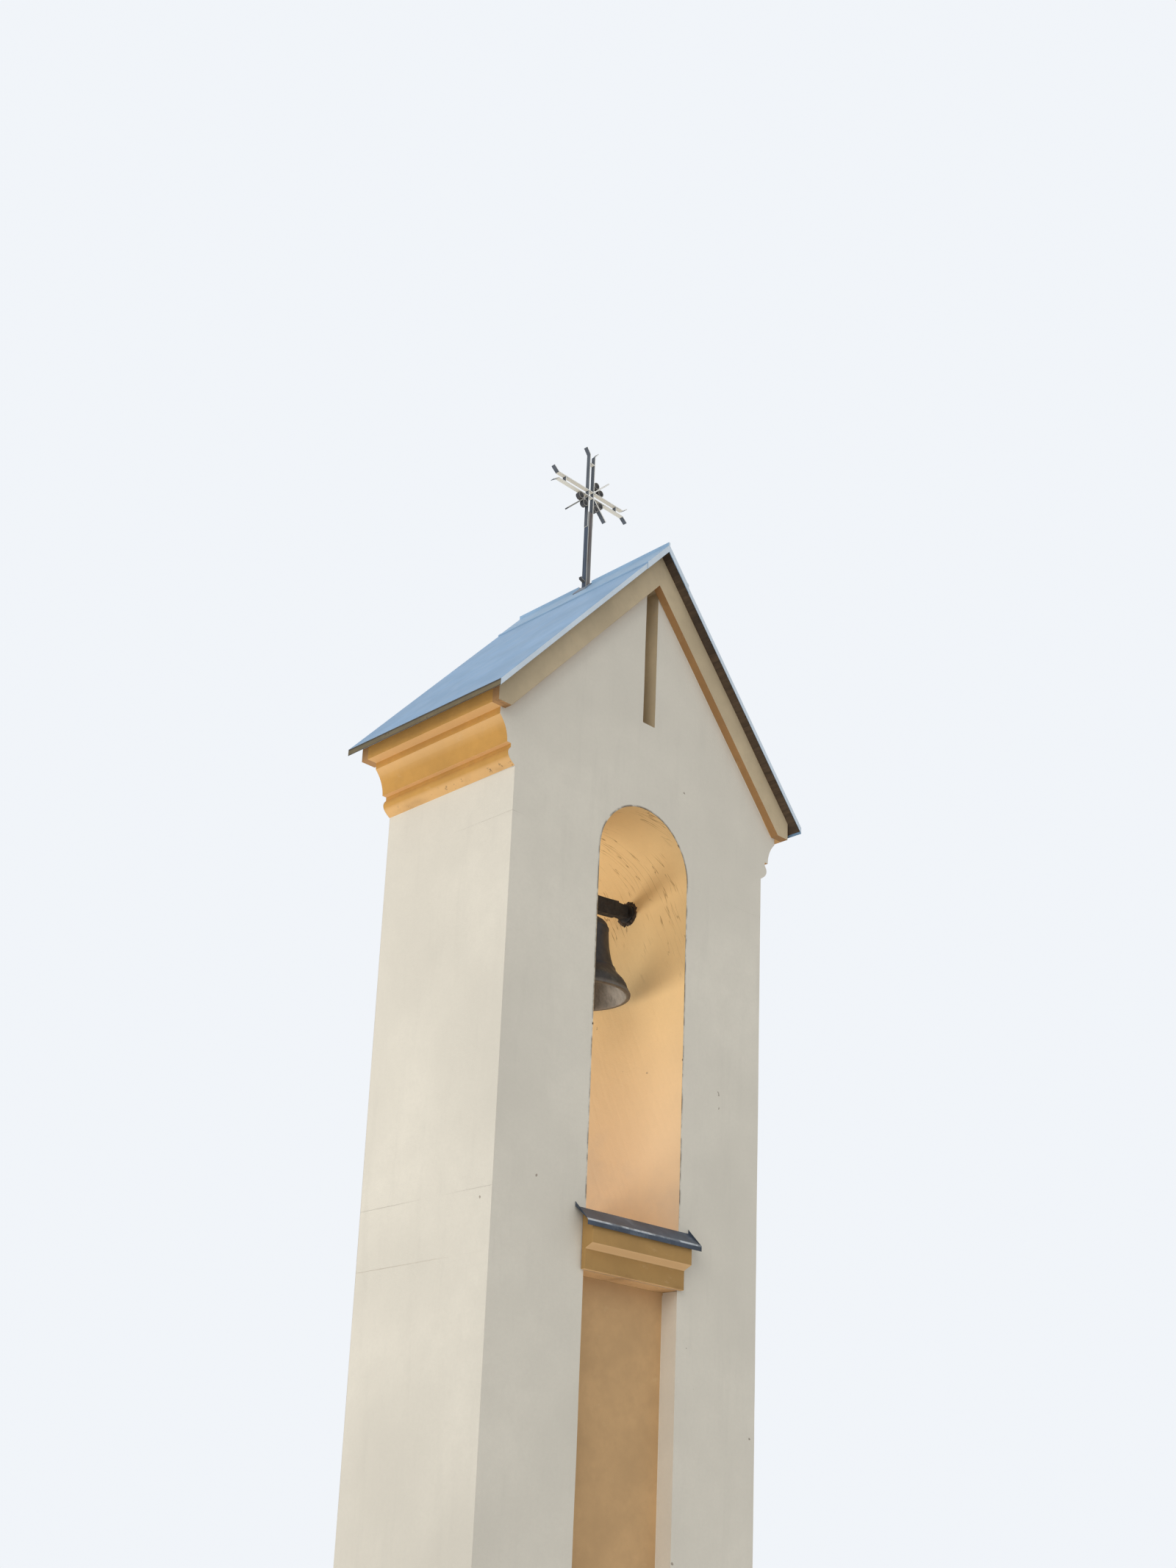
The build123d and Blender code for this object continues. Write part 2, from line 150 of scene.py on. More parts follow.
class Shade:
    """A procedural material on the principled shader, in the tower's own coordinates."""

    def __init__(self, name, roughness, metallic=0.0):
        self.mat = bpy.data.materials.new(name)
        self.mat.use_nodes = True
        self.tree = self.mat.node_tree
        self.shader = self.tree.nodes["Principled BSDF"]
        self.shader.inputs["Roughness"].default_value = roughness
        self.shader.inputs["Metallic"].default_value = metallic
        self.place = self.add("ShaderNodeTexCoord").outputs["Object"]
        self.height = None

    def add(self, kind, **inputs):
        made = self.tree.nodes.new(kind)
        for key, value in inputs.items():
            self.feed(made.inputs[key.replace("_", " ")], value)
        return made

    def feed(self, socket, value):
        if isinstance(value, bpy.types.NodeSocket):
            self.tree.links.new(value, socket)
        else:
            socket.default_value = value

    def moved(self, stretch=(1, 1, 1), turn=(0, 0, 0), shift=(0, 0, 0)):
        """Turned first and then stretched, so that a stretched pattern runs along the turned axes."""
        turned_place = self.place
        if any(turn):
            turned_place = self.add("ShaderNodeMapping", Vector=self.place, Rotation=turn).outputs[0]
        return self.add("ShaderNodeMapping", Vector=turned_place, Scale=stretch, Location=shift).outputs[0]

    def noise(self, scale, detail=4.0, roughness=0.55, stretch=(1, 1, 1), turn=(0, 0, 0), shift=(0, 0, 0)):
        where = self.moved(stretch, turn, shift)
        made = self.add("ShaderNodeTexNoise", Vector=where, Scale=scale, Detail=detail, Roughness=roughness)
        return made.outputs[0]

    def levels(self, value, low, high, start=0.0, end=1.0):
        made = self.add("ShaderNodeMapRange")
        for index, given in enumerate((value, low, high, start, end)):
            self.feed(made.inputs[index], given)
        made.interpolation_type = "SMOOTHSTEP"
        return made.outputs[0]

    def patches(self, low, high, scale, detail, roughness=0.55, stretch=(1, 1, 1), shift=(0, 0, 0)):
        """Noise as soft patches: nought where it is below the low value and one above the high one."""
        return self.levels(self.noise(scale, detail, roughness, stretch, (0, 0, 0), shift), low, high)

    def maths(self, kind, first, second=0.0):
        made = self.tree.nodes.new("ShaderNodeMath")
        made.operation = kind
        self.feed(made.inputs[0], first)
        self.feed(made.inputs[1], second)
        return made.outputs[0]

    def both(self, first, second):
        return self.maths("MULTIPLY", first, second)

    def away_from(self, value, level):
        return self.maths("ABSOLUTE", self.maths("SUBTRACT", value, level))

    def mix(self, share, first, second):
        made = self.tree.nodes.new("ShaderNodeMix")
        made.data_type = "RGBA"
        self.feed(made.inputs[0], share)
        self.feed(made.inputs[6], first)
        self.feed(made.inputs[7], second)
        return made.outputs[2]

    def layer(self, tone, colour, share, strength):
        """Lays a colour over the tone, as far as the share and the strength say."""
        return self.mix(self.both(share, strength), tone, colour)

    def part(self, which):
        split = self.add("ShaderNodeSeparateXYZ", Vector=self.place)
        return split.outputs[which]

    def facing(self, which):
        normal = self.add("ShaderNodeNewGeometry").outputs["Normal"]
        return self.add("ShaderNodeSeparateXYZ", Vector=normal).outputs[which]

    def colour(self, value):
        self.feed(self.shader.inputs["Base Color"], value)

    def rough(self, value):
        self.feed(self.shader.inputs["Roughness"], value)

    def bump(self, height, distance, strength=1.0):
        made = self.add("ShaderNodeBump", Height=height, Distance=distance, Strength=strength)
        if self.height is not None:
            self.tree.links.new(self.height, made.inputs["Normal"])
        self.height = made.outputs[0]
        self.tree.links.new(self.height, self.shader.inputs["Normal"])


def toned(colour, factor):
    return (colour[0] * factor, colour[1] * factor, colour[2] * factor, 1.0)


def arch_rim(shade):
    """One along the edge of the arched opening and nought away from it."""
    across = shade.part(0)
    rise = shade.maths("MAXIMUM", shade.maths("SUBTRACT", shade.part(2), z_spring), 0.0)
    reach = shade.maths("SQRT", shade.maths("ADD", shade.both(across, across), shade.both(rise, rise)))
    near = shade.levels(reach, half_opening + 0.003, half_opening + 0.016, 1.0, 0.0)
    above = shade.levels(shade.part(2), z_sill + 0.02, z_sill + 0.05)
    return shade.both(near, above)


def trowel_marks(shade, tone):
    """Thin slanting strokes high in the opening, and plaster that turns rosy and smudged below them."""
    height = shade.part(2)
    lines = shade.noise(2.6, 2.0, 0.5, (1.0, 0.8, 11.0), (-1.15, 0.2, 0.0))
    strokes = shade.levels(shade.away_from(lines, 0.5), 0.003, 0.016, 1.0, 0.0)
    scattered = shade.patches(0.40, 0.54, 3.4, 3.0, 0.5, shift=(6, 2, 4))
    upper = shade.levels(height, z_spring - 0.7, z_spring - 0.1)
    tone = shade.layer(tone, srgb(150, 112, 70), shade.both(shade.both(strokes, scattered), upper), 0.7)
    rose = shade.levels(height, z_sill, z_spring - 0.2, 1.0, 0.0)
    tone = shade.layer(tone, srgb(234, 208, 184), rose, 0.55)
    smudge = shade.patches(0.52, 0.70, 1.7, 4.0, 0.6, shift=(3, 9, 1))
    tone = shade.layer(tone, srgb(176, 166, 158), shade.both(smudge, rose), 0.2)
    shade.bump(lines, 0.0022, 0.8)
    return tone


def rim_dirt_and_shade(shade, tone):
    """Broken dark line along the edge of the opening: dirt and painted shade."""
    broken_rim = shade.patches(0.36, 0.60, 9.0, 5.0, 0.65)
    return shade.layer(tone, srgb(84, 68, 48), shade.both(arch_rim(shade), broken_rim), 0.85)


def plaster(name, base, grime=0.35, trowelled=False):
    """Painted render: sandy grain, broad mottling, dark runs, a few pits, and damp at the foot."""
    shade = Shade(name, 0.9)
    broad = shade.patches(0.3, 0.72, 1.1, 3.0)
    mottle = shade.patches(0.34, 0.7, 7.0, 6.0, 0.62)
    speck = shade.patches(0.3, 0.75, 46.0, 4.0, 0.7)
    runs = shade.patches(0.5, 0.78, 2.2, 5.0, 0.6, (4.5, 4.5, 0.55))
    tone = shade.mix(broad, toned(base, 0.91), toned(base, 1.04))
    tone = shade.layer(tone, toned(base, 0.94), mottle, 0.45)
    tone = shade.layer(tone, toned(base, 0.80), speck, 0.16)
    tone = shade.layer(tone, toned(base, 0.72), runs, grime * 0.5)
    pits = shade.patches(0.765, 0.785, 13.0, 2.0, 0.5, shift=(3, 1, 7))
    tone = shade.layer(tone, srgb(110, 84, 60), pits, 0.6)
    ragged = shade.levels(shade.noise(3.0, 5.0), 0.3, 0.7, -0.18, 0.18)
    foot = shade.levels(shade.maths("ADD", shade.part(2), ragged), 0.06, 0.62, 1.0, 0.0)
    tone = shade.layer(tone, srgb(128, 120, 98), foot, 0.5)
    tone = trowel_marks(shade, tone) if trowelled else rim_dirt_and_shade(shade, tone)
    shade.colour(tone)
    shade.bump(shade.noise(11.0, 5.0, 0.6), 0.006, 0.35)
    shade.bump(shade.noise(210.0, 3.0, 0.6), 0.0011, 0.8)
    return shade


def ochre_plaster(name, base, stain_at, stain_reach, spotted=0.85, painted_underside_light=0.5):
    """Ochre trim: mottled, worn in places, lighter as painted light where it faces down, and dirty near its
    foot.
    """
    shade = Shade(name, 0.88)
    broad = shade.patches(0.3, 0.7, 2.4, 4.0)
    mottle = shade.patches(0.36, 0.7, 13.0, 6.0, 0.65)
    tone = shade.mix(broad, toned(base, 0.88), toned(base, 1.06))
    tone = shade.layer(tone, toned(base, 0.84), mottle, 0.4)
    worn = shade.patches(0.6, 0.74, 5.0, 6.0, 0.7, (1, 1, 2.2), (5, 2, 1))
    tone = shade.layer(tone, srgb(214, 182, 136), worn, 0.35)
    # Faces that look down get a lighter tone: painted light from below.
    below = shade.levels(shade.facing(2), -0.75, -0.35, 1.0, 0.0)
    tone = shade.layer(tone, srgb(242, 198, 142), below, painted_underside_light)
    height = shade.part(2)
    near = shade.levels(height, stain_at, stain_at + stain_reach, 1.0, 0.0)
    spots = shade.patches(0.63, 0.70, 24.0, 3.0, 0.6, (1, 1, 1.5))
    tone = shade.layer(tone, srgb(58, 44, 32), shade.both(near, spots), spotted)
    soot = shade.patches(0.45, 0.75, 4.0, 5.0, 0.6, (1, 1, 3.0))
    tone = shade.layer(tone, srgb(128, 88, 50), shade.both(near, soot), 0.45)
    shade.colour(tone)
    shade.bump(shade.noise(12.0, 5.0, 0.6), 0.005, 0.4)
    shade.bump(shade.noise(190.0, 3.0, 0.6), 0.001, 0.8)
    return shade


def sheet_metal(name, base, roughness, streak, rust, metallic):
    """Weathered sheet: soft cloudy tone, faint runs down the slope and small dark spots."""
    shade = Shade(name, roughness, metallic)
    cloud = shade.patches(0.32, 0.7, 3.1, 6.0, 0.62)
    tone = shade.mix(cloud, toned(base, 0.91), toned(base, 1.05))
    runs = shade.patches(0.42, 0.72, 2.0, 6.0, 0.6, (0.6, 11.0, 0.6))
    tone = shade.layer(tone, toned(base, 0.66), runs, streak * 0.5)
    spots = shade.patches(0.70, 0.78, 38.0, 3.0, 0.6)
    tone = shade.layer(tone, toned(base, 0.4), spots, 0.5)
    if rust:
        bloom = shade.patches(0.50, 0.66, 9.0, 7.0, 0.68)
        tone = shade.layer(tone, srgb(92, 62, 40), bloom, rust)
    shade.colour(tone)
    shade.rough(shade.levels(shade.noise(8.0, 5.0), 0.3, 0.7, roughness - 0.03, roughness + 0.05))
    shade.bump(shade.noise(30.0, 4.0), 0.0012, 0.3)
    return shade


def worn_paint(name, paint, under, wear, roughness, dark_rims):
    """Old paint flaking in patches off the metal under it, with dark lines at the given heights."""
    shade = Shade(name, roughness, 0.05)
    cloud = shade.patches(0.3, 0.7, 6.0, 5.0, 0.6)
    tone = shade.mix(cloud, toned(paint, 0.8), toned(paint, 1.12))
    flakes = shade.patches(0.66 - wear * 0.2, 0.70 - wear * 0.2, 21.0, 6.0, 0.7, (1, 0.6, 1))
    tone = shade.mix(flakes, tone, under)
    dirt = shade.patches(0.5, 0.75, 52.0, 4.0, 0.7)
    tone = shade.layer(tone, toned(paint, 0.45), dirt, 0.3)
    for level in dark_rims:
        away = shade.away_from(shade.part(2), level)
        tone = shade.mix(shade.levels(away, 0.003, 0.009, 0.8, 0.0), tone, srgb(48, 42, 36))
    shade.colour(tone)
    shade.bump(flakes, 0.0006, 0.7)
    shade.bump(shade.noise(90.0, 4.0), 0.0008, 0.4)
    return shade


def flashing_paint(name, lip_y, fold_z):
    """Dark blue-grey sheet with painted glints along the upper edge of its folded lip."""
    shade = Shade(name, 0.5, 0.1)
    base = srgb(54, 64, 78)
    cloud = shade.patches(0.3, 0.7, 7.0, 5.0, 0.6)
    tone = shade.mix(cloud, toned(base, 0.7), toned(base, 1.25))
    # Pale spots along the upper edge of the lip: painted glints.
    depth = shade.maths("ABSOLUTE", shade.part(1))
    outside = shade.levels(depth, lip_y - 0.012, lip_y - 0.006)
    level = shade.away_from(shade.part(2), fold_z)
    fold = shade.both(outside, shade.levels(level, 0.003, 0.009, 1.0, 0.0))
    painted_glint = shade.levels(shade.noise(9.0, 5.0, 0.65, shift=(1, 4, 2)), 0.40, 0.58, 0.25, 1.0)
    tone = shade.layer(tone, srgb(206, 212, 216), shade.both(fold, painted_glint), 0.85)
    dust = shade.patches(0.52, 0.70, 9.0, 6.0, 0.68, shift=(8, 3, 5))
    tone = shade.layer(tone, srgb(112, 122, 134), dust, 0.45)
    shade.colour(tone)
    shade.bump(shade.noise(40.0, 5.0, 0.6), 0.0012, 0.5)
    return shade


def boards_wood(name):
    """Old grey-brown boards with grain along the eave and damp patches."""
    shade = Shade(name, 0.85)
    grain = shade.noise(5.0, 7.0, 0.7, (9.0, 0.7, 9.0))
    base = srgb(96, 78, 60)
    tone = shade.mix(shade.levels(grain, 0.3, 0.7), toned(base, 0.55), toned(base, 1.15))
    damp = shade.patches(0.45, 0.7, 2.6, 4.0)
    tone = shade.layer(tone, srgb(52, 44, 38), damp, 0.5)
    shade.colour(tone)
    shade.bump(grain, 0.002, 0.6)
    return shade


def dark_iron(name, base, rust, metallic, roughness):
    """Forged iron, almost black, with patches of dull rust."""
    shade = Shade(name, roughness, metallic)
    cloud = shade.patches(0.3, 0.7, 16.0, 6.0, 0.65)
    tone = shade.mix(cloud, toned(base, 0.6), toned(base, 1.3))
    bloom = shade.patches(0.56, 0.70, 28.0, 7.0, 0.7)
    tone = shade.layer(tone, rust, bloom, 0.5)
    shade.colour(tone)
    shade.rough(shade.levels(shade.noise(33.0, 4.0), 0.3, 0.7, roughness - 0.1, roughness + 0.2))
    shade.bump(shade.noise(60.0, 6.0, 0.7), 0.0025, 0.5)
    shade.bump(shade.noise(240.0, 3.0, 0.6), 0.0006, 0.6)
    return shade


def bell_metal(name, lip_z):
    """Bronze gone almost black, with a faint bloom on the flare and a rubbed lip."""
    shade = Shade(name, 0.5, 0.1)
    base = srgb(32, 30, 28)
    cloud = shade.patches(0.3, 0.7, 9.0, 6.0, 0.6)
    tone = shade.mix(cloud, toned(base, 0.6), toned(base, 1.25))
    tint = shade.patches(0.42, 0.62, 4.0, 3.0, 0.5, (1, 1, 0.6), (4, 8, 2))
    tone = shade.layer(tone, srgb(60, 50, 62), tint, 0.2)
    height = shade.part(2)
    flare = shade.levels(height, lip_z, lip_z + 0.20, 1.0, 0.0)
    bloom = shade.patches(0.50, 0.66, 15.0, 6.0, 0.68)
    tone = shade.layer(tone, srgb(96, 98, 90), shade.both(bloom, flare), 0.45)
    rubbed = shade.levels(height, lip_z + 0.008, lip_z + 0.034, 1.0, 0.0)
    tone = shade.layer(tone, srgb(118, 112, 104), rubbed, 0.65)
    runs = shade.patches(0.5, 0.75, 6.0, 5.0, 0.6, (6.0, 6.0, 0.8))
    tone = shade.layer(tone, srgb(28, 27, 26), runs, 0.4)
    shade.colour(tone)
    shade.rough(shade.levels(shade.noise(14.0, 5.0), 0.3, 0.7, 0.42, 0.65))
    shade.bump(shade.noise(44.0, 5.0, 0.65), 0.0014, 0.4)
    return shade


def bell_inside(name):
    """Pale grey inside of the bell, as painted light on the dark metal, with darker streaks."""
    shade = Shade(name, 0.75, 0.1)
    # The pale grey stands in for light inside the dark bell: painted light.
    base = srgb(150, 144, 134)
    cloud = shade.patches(0.3, 0.7, 11.0, 6.0, 0.65)
    tone = shade.mix(cloud, toned(base, 0.6), toned(base, 1.15))
    streaks = shade.patches(0.48, 0.72, 7.0, 5.0, 0.6, (5.0, 5.0, 0.7))
    tone = shade.layer(tone, srgb(66, 60, 54), streaks, 0.5)
    shade.colour(tone)
    shade.bump(shade.noise(60.0, 5.0, 0.65), 0.0012, 0.4)
    return shade


def cross_metal(name, shaded_side_tone, lit_front_tone, lit_under_tone):
    """Painted steel: pale where it faces the front or the ground, as painted light, and dark on the sides,
    as painted shade.
    """
    shade = Shade(name, 0.7, 0.0)
    cloud = shade.patches(0.3, 0.7, 17.0, 5.0, 0.6, (1, 1, 0.35))
    tone = shade.mix(cloud, toned(shaded_side_tone, 0.78), toned(shaded_side_tone, 1.2))
    rust = shade.patches(0.60, 0.70, 23.0, 6.0, 0.7)
    tone = shade.layer(tone, srgb(112, 88, 70), rust, 0.5)
    # Faces that look down get a pale tone: painted light.
    below = shade.levels(shade.facing(2), -0.97, -0.80, 1.0, 0.0)
    tone = shade.layer(tone, lit_under_tone, below, 0.95)
    # Faces that look to the front get a paler tone, broken by noise: painted light.
    front = shade.levels(shade.facing(1), -0.85, -0.4, 1.0, 0.0)
    kept = shade.levels(shade.noise(20.0, 4.0, 0.6), 0.27, 0.36, 0.45, 1.0)
    tone = shade.layer(tone, lit_front_tone, front, kept)
    shade.colour(tone)
    shade.bump(shade.noise(120.0, 4.0), 0.0008, 0.4)
    return shade


def post_metal(name):
    """Square tube: dark blue-grey with long pale streaks, a lighter front as painted light with brown rust
    patches, and painted highlights along its front corners.
    """
    shade = Shade(name, 0.62, 0.05)
    base = srgb(62, 72, 88)
    streaks = shade.patches(0.38, 0.68, 5.0, 6.0, 0.6, (14.0, 14.0, 1.0))
    tone = shade.mix(streaks, toned(base, 0.62), toned(base, 1.35))
    # The front face is lighter as painted light, mixed with brown rust patches.
    front = shade.levels(shade.facing(1), -0.85, -0.4, 1.0, 0.0)
    brown = shade.patches(0.40, 0.62, 4.0, 5.0, 0.6, (9.0, 9.0, 1.0), (2, 5, 1))
    tone = shade.layer(tone, shade.mix(brown, srgb(122, 118, 116), srgb(98, 80, 68)), front, 0.8)
    # Pale lines along both front corners: painted highlights.
    across = shade.part(0)
    lit_left = shade.levels(across, -0.0165, -0.0115, 1.0, 0.0)
    lit_right = shade.levels(across, 0.0125, 0.0165)
    rim = shade.both(front, shade.maths("MAXIMUM", lit_left, lit_right))
    tone = shade.layer(tone, srgb(228, 224, 214), rim, 0.9)
    shade.colour(tone)
    shade.bump(shade.noise(110.0, 4.0), 0.0008, 0.4)
    return shade


def mortar(name, base):
    """Coarse dark mortar."""
    shade = Shade(name, 0.95)
    cloud = shade.patches(0.3, 0.7, 28.0, 6.0, 0.7)
    tone = shade.mix(cloud, toned(base, 0.45), toned(base, 1.25))
    shade.colour(tone)
    shade.bump(shade.noise(70.0, 6.0, 0.7), 0.004, 0.7)
    return shade


# Levels that some paints follow, and each material under its short name
eave_levels = (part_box("right_roof_sheet")[0].z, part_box("right_roof_sheet")[0].z + eave_fold)
lip_foot = corner("back_sill_flashing", 0).z
mats = {
    "cream": plaster("cream_plaster", srgb(228, 221, 206)),
    "peach": plaster("peach_plaster", srgb(248, 212, 152), 0.15, True),
    "ochre": ochre_plaster("ochre_plaster", srgb(200, 149, 74), torus_foot, 0.05),
    # Sill trim: ochre darkened as painted shade, with strong painted light on its faces that look down.
    "sill": ochre_plaster("shaded_sill_ochre", srgb(180, 141, 84), z_niche, 0.05, 0.25, 0.95),
    "niche": ochre_plaster("niche_ochre", srgb(205, 166, 118), z_base, 0.3, 0.3, 0.0),
    # Band undersides: ochre darkened as painted shade.
    "soffit": ochre_plaster("shaded_soffit_ochre", srgb(174, 130, 82), z_corona, 0.02, 0.3, 0.0),
    "broken": mortar("broken_plaster", srgb(112, 92, 72)),
    "band": ochre_plaster("band_ochre", srgb(202, 183, 150), z_corona, 0.02, 0.3, 0.0),
    # Arch edges: dark plaster for dirt and painted shade.
    "arris": plaster("arris_dirt_and_shade_plaster", srgb(142, 118, 84), 0.5),
    # Roof and cap: blue-grey sheet whose strong blue is a painted reflection of the sky, and verge trim
    # paler as painted light.
    "roof": sheet_metal("roof_sheet_metal", srgb(134, 172, 208), 0.5, 0.04, 0.0, 0.1),
    "cap": sheet_metal("ridge_cap_metal", srgb(150, 183, 213), 0.5, 0.04, 0.0, 0.1),
    "trim": sheet_metal("lit_verge_metal", srgb(212, 224, 234), 0.4, 0.1, 0.0, 0.05),
    "dark_trim": worn_paint("eave_worn_paint", srgb(112, 100, 74), srgb(74, 64, 50), 0.2, 0.8, eave_levels),
    "flashing": flashing_paint("flashing_paint", corner("back_sill_flashing", 1).y, lip_foot + lip_height),
    "boards": boards_wood("roof_boards"),
    # Cross tones: dark sides as painted shade, pale fronts and undersides as painted light.
    "cross": cross_metal("cross_bar_metal", srgb(84, 90, 98), srgb(252, 248, 238), srgb(252, 242, 222)),
    "scroll": cross_metal("cross_scroll_metal", srgb(66, 66, 70), srgb(150, 146, 138), srgb(96, 92, 88)),
    "post": post_metal("cross_post_metal"),
    "saddle": sheet_metal("saddle_metal", srgb(128, 138, 150), 0.5, 0.4, 0.3, 0.2),
    "iron": dark_iron("bell_iron", srgb(36, 32, 29), srgb(66, 48, 36), 0.1, 0.7),
    "bell": bell_metal("bell_bronze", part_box("bell")[0].z),
    "bell_inside": bell_inside("bell_inside_painted_light"),
    "mortar": mortar("hub_mortar", srgb(66, 52, 40)),
}

# Paints of the masonry, in the order of their slots
MASONRY = ["cream", "peach", "ochre", "niche", "broken", "band", "arris", "sill", "soffit"]


def put(name, mesh, slots, body="tower"):
    obj = bpy.data.objects.new(name, mesh)
    bpy.context.scene.collection.objects.link(obj)
    while len(mesh.materials) > len(slots):
        mesh.materials.pop()
    for index, slot in enumerate(slots):
        if index < len(mesh.materials):
            mesh.materials[index] = mats[slot].mat
        else:
            mesh.materials.append(mats[slot].mat)
    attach(obj, body)
    return obj


def loose(bm, name="tool"):
    mesh = bpy.data.meshes.new(name)
    bm.to_mesh(mesh)
    bm.free()
    obj = bpy.data.objects.new(name, mesh)
    bpy.context.scene.collection.objects.link(obj)
    return obj


def baked(obj):
    graph = bpy.context.evaluated_depsgraph_get()
    mesh = bpy.data.meshes.new_from_object(obj.evaluated_get(graph))
    obj.modifiers.clear()
    obj.data = mesh


def cut_out(obj, tool):
    cut = obj.modifiers.new("cut", "BOOLEAN")
    cut.operation = "DIFFERENCE"
    cut.solver = "EXACT"
    cut.object = tool
    baked(obj)
    bpy.data.objects.remove(tool)


def prism(outline, y0, y1):
    """Closed prism along Y from an outline of (x, z)."""
    bm = bmesh.new()
    ring = [bm.verts.new((x, y0, z)) for x, z in outline]
    face = bm.faces.new(ring)
    made = bmesh.ops.extrude_face_region(bm, geom=[face])["geom"]
    for item in made:
        if isinstance(item, bmesh.types.BMVert):
            item.co.y = y1
    bmesh.ops.recalc_face_normals(bm, faces=bm.faces[:])
    return bm


def turned(profile, centre, steps):
    """Closed turned form from a profile of (radius, height) that starts and ends on the axis."""
    bm = bmesh.new()
    angles = [2 * math.pi * i / steps for i in range(steps)]
    rings = []
    for radius, height in profile:
        ring = [(radius * math.cos(a), radius * math.sin(a), height) for a in angles]
        if radius < joined:
            ring = [(0, 0, height)]
        rings.append([bm.verts.new(spot) for spot in ring])
    for low, high in zip(rings, rings[1:]):
        for i in range(steps):
            j = (i + 1) % steps
            corners = [low[i % len(low)], low[j % len(low)], high[j % len(high)], high[i % len(high)]]
            unique = list(dict.fromkeys(corners))
            if len(unique) > 2:
                bm.faces.new(unique)
    bmesh.ops.recalc_face_normals(bm, faces=bm.faces[:])
    bm.transform(Matrix.Translation(centre))
    return bm


def sliced(bm, axis, values):
    for value in values:
        everything = bm.verts[:] + bm.edges[:] + bm.faces[:]
        spot = AXES[axis] * value
        bmesh.ops.bisect_plane(bm, geom=everything, dist=joined, plane_co=spot, plane_no=AXES[axis])


def steps_between(low, high, step):
    count = max(2, round((high - low) / step))
    return [low + (high - low) * i / count for i in range(1, count)]


def gridded(bm, step):
    for axis, which in (("z", 2), ("x", 0), ("y", 1)):
        places = [v.co[which] for v in bm.verts]
        sliced(bm, axis, steps_between(min(places), max(places), step))


def softened(bm, width, rows=2):
    """Rounds every edge between faces that turn by more than 24 degrees."""
    least = math.radians(24)
    sharp = [e for e in bm.edges if len(e.link_faces) == 2 and e.calc_face_angle(0) > least]
    bmesh.ops.bevel(
        bm,
        geom=sharp,
        offset=width,
        segments=rows,
        profile=0.5,
        affect="EDGES",
        clamp_overlap=True,
    )
    bmesh.ops.dissolve_degenerate(bm, dist=1e-6, edges=bm.edges[:])


def uneven(spot, wave):
    """A smooth value about a half, from a broad and a fine wave."""
    broad = noise.noise(spot / wave)
    fine = noise.noise(spot * (3.7 / wave) + Vector((9.1, 4.7, 2.3)))
    return 0.5 + 0.36 * broad + 0.14 * fine


def weathered(bm, depth, wave):
    """Moves the surface inward by up to depth, and keeps its foot at the same height."""
    bm.normal_update()
    moves = []
    for vert in bm.verts:
        push = vert.normal * (-depth * uneven(vert.co, wave))
        if vert.co.z < ground_band:
            push.z = 0
        moves.append((vert, push))
    for vert, push in moves:
        vert.co += push


def weighted(obj, angle=35):
    """Smooth shading that keeps flat faces flat, with hard edges above the angle."""
    for face in obj.data.polygons:
        face.use_smooth = True
    obj.data.set_sharp_from_angle(angle=math.radians(angle))
    even = obj.modifiers.new("even", "WEIGHTED_NORMAL")
    even.keep_sharp = True
    even.weight = 60


def half_circle(centre_z, radius, steps):
    """Points of an arch over the middle, from its right spring to its left one."""
    turns = [math.radians(180 * i / steps) for i in range(steps + 1)]
    return [(radius * math.cos(t), centre_z + radius * math.sin(t)) for t in turns]


def upright_strip(half, low, high):
    """Outline of an upright rectangle about the middle."""
    return [(-half, low), (half, low), (half, high), (-half, high)]


def cornice_outline():
    """Right side of the eaves from the wall up: torus, lower fillet, cove, fillet, soffit and corona."""
    soffit_x = corona_x - soffit_depth
    cove_top = z_corona - fillet_height
    cove_low = cove_top - cove_height
    cove_x = half_width + cove_foot
    torus_top = cove_low - lower_fillet_height
    first = Vector((half_width, torus_foot))
    middle = Vector((half_width + torus_out, (torus_top + torus_foot) / 2))
    last = Vector((half_width + lower_fillet, torus_top))
    points = []
    for i in range(curve_steps + 1):
        t = i / curve_steps
        start = first * (1 - t) * (1 - 2 * t)
        bulge = middle * 4 * t * (1 - t)
        end = last * t * (2 * t - 1)
        points.append(tuple(start + bulge + end))
    points.append((half_width + lower_fillet, cove_low))
    run = soffit_x - cove_x
    radius = (run * run + cove_height * cove_height) / (2 * run)
    for i in range(curve_steps + 1):
        height = cove_height * i / curve_steps
        points.append((cove_x + radius - math.sqrt(radius * radius - height * height), cove_low + height))
    points.append((soffit_x, z_corona))
    points.append((corona_x, z_corona))
    points.append((corona_x, deck_under(corona_x)))
    return points


def mirrored(bm):
    """Opens the form at the middle plane and adds its mirror image behind it."""
    middle = [f for f in bm.faces if all(abs(v.co.y) < joined for v in f.verts)]
    bmesh.ops.delete(bm, geom=middle, context="FACES")
    doubled = bmesh.ops.duplicate(bm, geom=bm.verts[:] + bm.edges[:] + bm.faces[:])["geom"]
    for item in doubled:
        if isinstance(item, bmesh.types.BMVert):
            item.co.y = -item.co.y
    bmesh.ops.reverse_faces(bm, faces=[f for f in doubled if isinstance(f, bmesh.types.BMFace)])
    bmesh.ops.remove_doubles(bm, verts=bm.verts[:], dist=joined)


